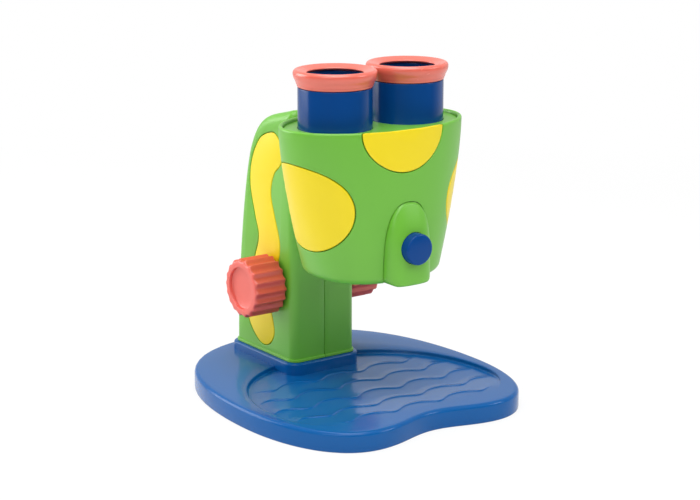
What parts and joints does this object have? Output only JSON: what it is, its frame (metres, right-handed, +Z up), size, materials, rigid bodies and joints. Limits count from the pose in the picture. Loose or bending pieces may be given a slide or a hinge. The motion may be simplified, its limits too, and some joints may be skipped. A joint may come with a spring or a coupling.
{
  "type": "toy microscope",
  "caption": "Toy microscope for small children: pond-shaped base, column with focus knobs, and a spotted head on a rack with paired eyepieces and a push-button light.",
  "frame": {"origin": "on the table, under the middle of the base", "axes": "+Z up, the nose and its light button towards -Y, the column towards +Y, +X to the right as seen from the nose side"},
  "size_m": [0.175, 0.197, 0.2083],
  "materials": {
    "base_blue": "fine satin moulding",
    "shell_green": "satin moulding",
    "inlay_yellow": "satin moulding",
    "barrel_blue": "glossy moulding",
    "eyecup_coral": "soft matte moulding",
    "knob_coral": "satin moulding",
    "gear_white": "plain nylon",
    "inner_black": "plain moulding",
    "lens_clear": "polished acrylic",
    "lamp_white": "clear resin",
    "board_green": "coated board",
    "cell_sleeve": "plain sleeve",
    "steel": "plated"
  },
  "bodies": {
    "stand": {"base_plate": "base_blue", "base_cover": "base_blue", "base_cover_screw_1": "steel", "base_cover_screw_2": "steel", "base_cover_screw_3": "steel", "base_cover_screw_4": "steel", "foot_screw_1": "steel", "foot_screw_2": "steel", "foot_screw_3": "steel", "foot_screw_4": "steel", "column_left_shell": "shell_green", "column_right_shell": "shell_green", "column_inlay_left": "inlay_yellow", "column_inlay_right": "inlay_yellow", "column_screw_1": "steel", "column_screw_2": "steel", "column_screw_3": "steel"},
    "focus": {"focus_shaft": "steel", "focus_pinion": "gear_white", "focus_knob_left": "knob_coral", "focus_knob_right": "knob_coral"},
    "head": {"focus_carriage": "shell_green", "carriage_screw_1": "steel", "carriage_screw_2": "steel", "carriage_screw_3": "steel", "carriage_screw_4": "steel", "head_shell": "shell_green", "spot_front": "inlay_yellow", "spot_left": "inlay_yellow", "spot_right": "inlay_yellow", "head_deck": "shell_green", "eyepiece_barrel_left": "barrel_blue", "eyepiece_barrel_right": "barrel_blue", "eyecup_left": "eyecup_coral", "eyecup_right": "eyecup_coral", "eyepiece_lens_left": "lens_clear", "eyepiece_lens_right": "lens_clear", "objective_lens": "lens_clear", "objective_ring": "inner_black", "light_housing": "shell_green", "light_switch": "inner_black", "light_board": "board_green", "light_led": "lamp_white", "battery_holder": "inner_black", "battery_cell_1": "cell_sleeve", "battery_cell_2": "cell_sleeve", "battery_contact": "steel", "battery_door": "shell_green", "battery_door_screw": "steel"},
    "light_button": {"light_button": "barrel_blue", "switch_plunger": "inner_black"}
  },
  "joints": [
    {"name": "head_slide", "type": "slide", "parent": "stand", "child": "head", "axis": [0, 0, 1], "range_m": [-0.012, 0.012]},
    {"name": "focus_turn", "type": "hinge", "parent": "stand", "child": "focus", "pos_m": [0, 0.042, 0.0642], "axis": [1, 0, 0], "range_deg": [-91.8, 91.8]},
    {"name": "button_press", "type": "slide", "parent": "head", "child": "light_button", "axis": [0, 1, 0], "range_m": [0, 0.0015], "stiffness_N_per_m": 300, "springref_m": -0.002}
  ],
  "couplings": [
    {"joint": "focus_turn", "follows": "head_slide", "rad_per_m": -133.33}
  ]
}
